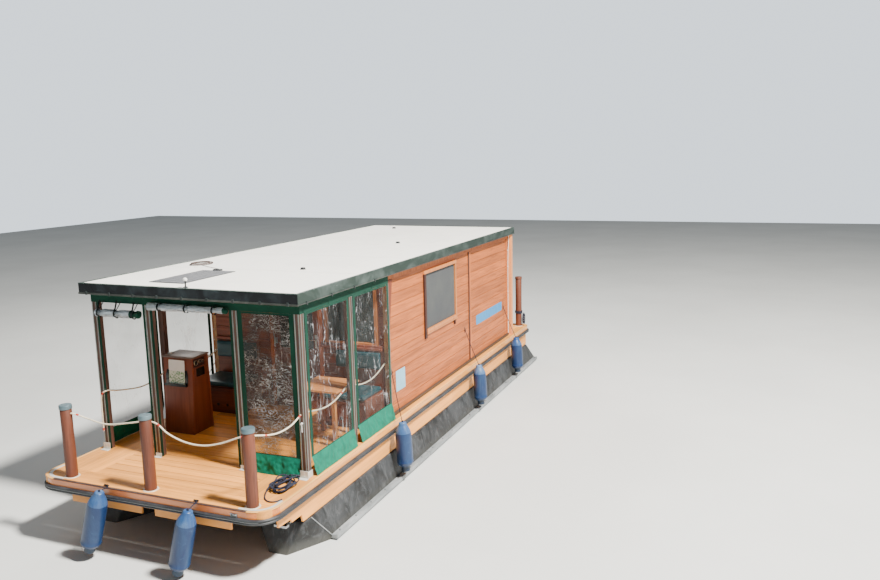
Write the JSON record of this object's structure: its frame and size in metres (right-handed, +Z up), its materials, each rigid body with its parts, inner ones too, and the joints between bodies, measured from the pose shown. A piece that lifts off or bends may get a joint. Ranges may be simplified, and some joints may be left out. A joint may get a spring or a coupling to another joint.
{
  "type": "twin-pontoon cabin houseboat",
  "caption": "Timber-clad cabin houseboat on dark twin pontoons, with a roofed bow terrace, clear roll-up curtains, wheel helm, rope rails, hung fenders and an outboard.",
  "frame": {"origin": "middle of the boat's length and width, at the underside of the pontoons", "axes": "+Z up, bow towards -Y, port side towards +X"},
  "size_m": [3.796, 10.757, 3.61],
  "materials": {
    "hull_plastic": "dark moulded, matt with scuffs",
    "galvanised_steel": "galvanised, dull",
    "deck_wood": "planed boards, dull",
    "edge_wood": "stained, satin",
    "fascia_wood": "planed boards, satin",
    "cladding_wood": "stained cladding, satin",
    "post_wood": "dark stained, satin",
    "bollard_wood": "stained round wood, satin",
    "joinery_wood": "dark red-brown joinery, satin",
    "table_wood": "light oiled wood, satin",
    "rubber": "black, matt",
    "roof_edge_metal": "grey-green paint, scuffed",
    "roof_membrane": "pale membrane, dusty",
    "solar_cell": "dark cells under glass",
    "white_plastic": "white, satin",
    "window_glass": "clear",
    "canvas": "green awning cloth",
    "clear_vinyl": "clear crumpled sheet",
    "cushion_cover": "dark teal cover",
    "fender_vinyl": "blue inflated vinyl",
    "cream_rope": "three-strand rope",
    "navy_rope": "braided rope",
    "white_cable": "white sheathed cable",
    "motor_grey": "dark grey, satin",
    "alloy": "cast, satin"
  },
  "bodies": {
    "hull": {"pontoon_port": "hull_plastic", "pontoon_starboard": "hull_plastic", "cross_beams": "galvanised_steel", "deck": "deck_wood", "deck_edge": "edge_wood", "fascia_port": "fascia_wood", "fascia_starboard": "fascia_wood", "fascia_bow": "fascia_wood", "fascia_stern": "fascia_wood", "wall_front": "cladding_wood", "wall_aft": "cladding_wood", "wall_port": "cladding_wood", "wall_starboard": "cladding_wood", "front_frame": "post_wood", "port_frame": "post_wood", "starboard_frame": "post_wood", "bow_board": "bollard_wood", "stern_board": "bollard_wood", "console": "joinery_wood", "bench_port": "joinery_wood", "bench_starboard": "joinery_wood", "table": "table_wood", "rub_strake": "rubber", "roof_flashing": "roof_edge_metal", "roof": "roof_membrane", "solar_panel": "solar_cell", "window_port": "white_plastic", "window_starboard": "white_plastic", "mast_light": "white_plastic", "window_port_glass": "window_glass", "window_starboard_glass": "window_glass", "window_front_glass": "window_glass", "canvas_band": "canvas", "curtain_port": "clear_vinyl", "curtain_starboard": "clear_vinyl", "curtain_front": "clear_vinyl", "bench_port_cushion": "cushion_cover", "bench_starboard_cushion": "cushion_cover", "fender_bow_starboard": "fender_vinyl", "fender_bow_centre": "fender_vinyl", "fender_port_forward": "fender_vinyl", "fender_port_middle": "fender_vinyl", "fender_port_aft": "fender_vinyl", "fender_starboard_forward": "fender_vinyl", "fender_starboard_middle": "fender_vinyl", "fender_starboard_aft": "fender_vinyl", "barrier_rope_port": "cream_rope", "barrier_rope_starboard": "cream_rope", "barrier_rope_bow": "cream_rope", "mooring_rope": "navy_rope", "roof_cable": "white_cable", "shore_cable": "white_cable", "outboard_clamp": "alloy"},
    "front_door_leaf": {"front_door": "cladding_wood", "front_door_glass": "window_glass"},
    "aft_door_leaf": {"aft_door": "cladding_wood"},
    "helm": {"steering_wheel": "motor_grey"},
    "swivel": {"outboard_swivel": "alloy"},
    "motor": {"outboard_motor": "motor_grey"},
    "propeller": {"outboard_propeller": "alloy"}
  },
  "joints": [
    {"name": "front_door_hinge", "type": "hinge", "parent": "hull", "child": "front_door_leaf", "pos_m": [-0.3725, -1.9255, 2.32], "axis": [0, 0, -1], "range_deg": [0, 95]},
    {"name": "aft_door_hinge", "type": "hinge", "parent": "hull", "child": "aft_door_leaf", "pos_m": [-0.3725, 3.5225, 2.32], "axis": [0, 0, 1], "range_deg": [0, 100]},
    {"name": "outboard_tilt", "type": "hinge", "parent": "hull", "child": "swivel", "pos_m": [0, 4.9335, 1.085], "axis": [1, 0, 0], "range_deg": [0, 65]},
    {"name": "outboard_steer", "type": "hinge", "parent": "swivel", "child": "motor", "pos_m": [0, 5.0335, 0.87], "axis": [0, 0, 1], "range_deg": [-35, 35]},
    {"name": "propeller_spin", "type": "hinge", "parent": "motor", "child": "propeller", "pos_m": [0, 5.2785, 0.2], "axis": [0, 1, 0], "continuous": true},
    {"name": "helm_turn", "type": "hinge", "parent": "hull", "child": "helm", "pos_m": [-0.965, -2.9213, 2.18], "axis": [0, 0.9997, 0.0242], "range_deg": [-540, 540]}
  ],
  "couplings": [
    {"joint": "helm_turn", "follows": "outboard_steer", "ratio": 15.429}
  ]
}
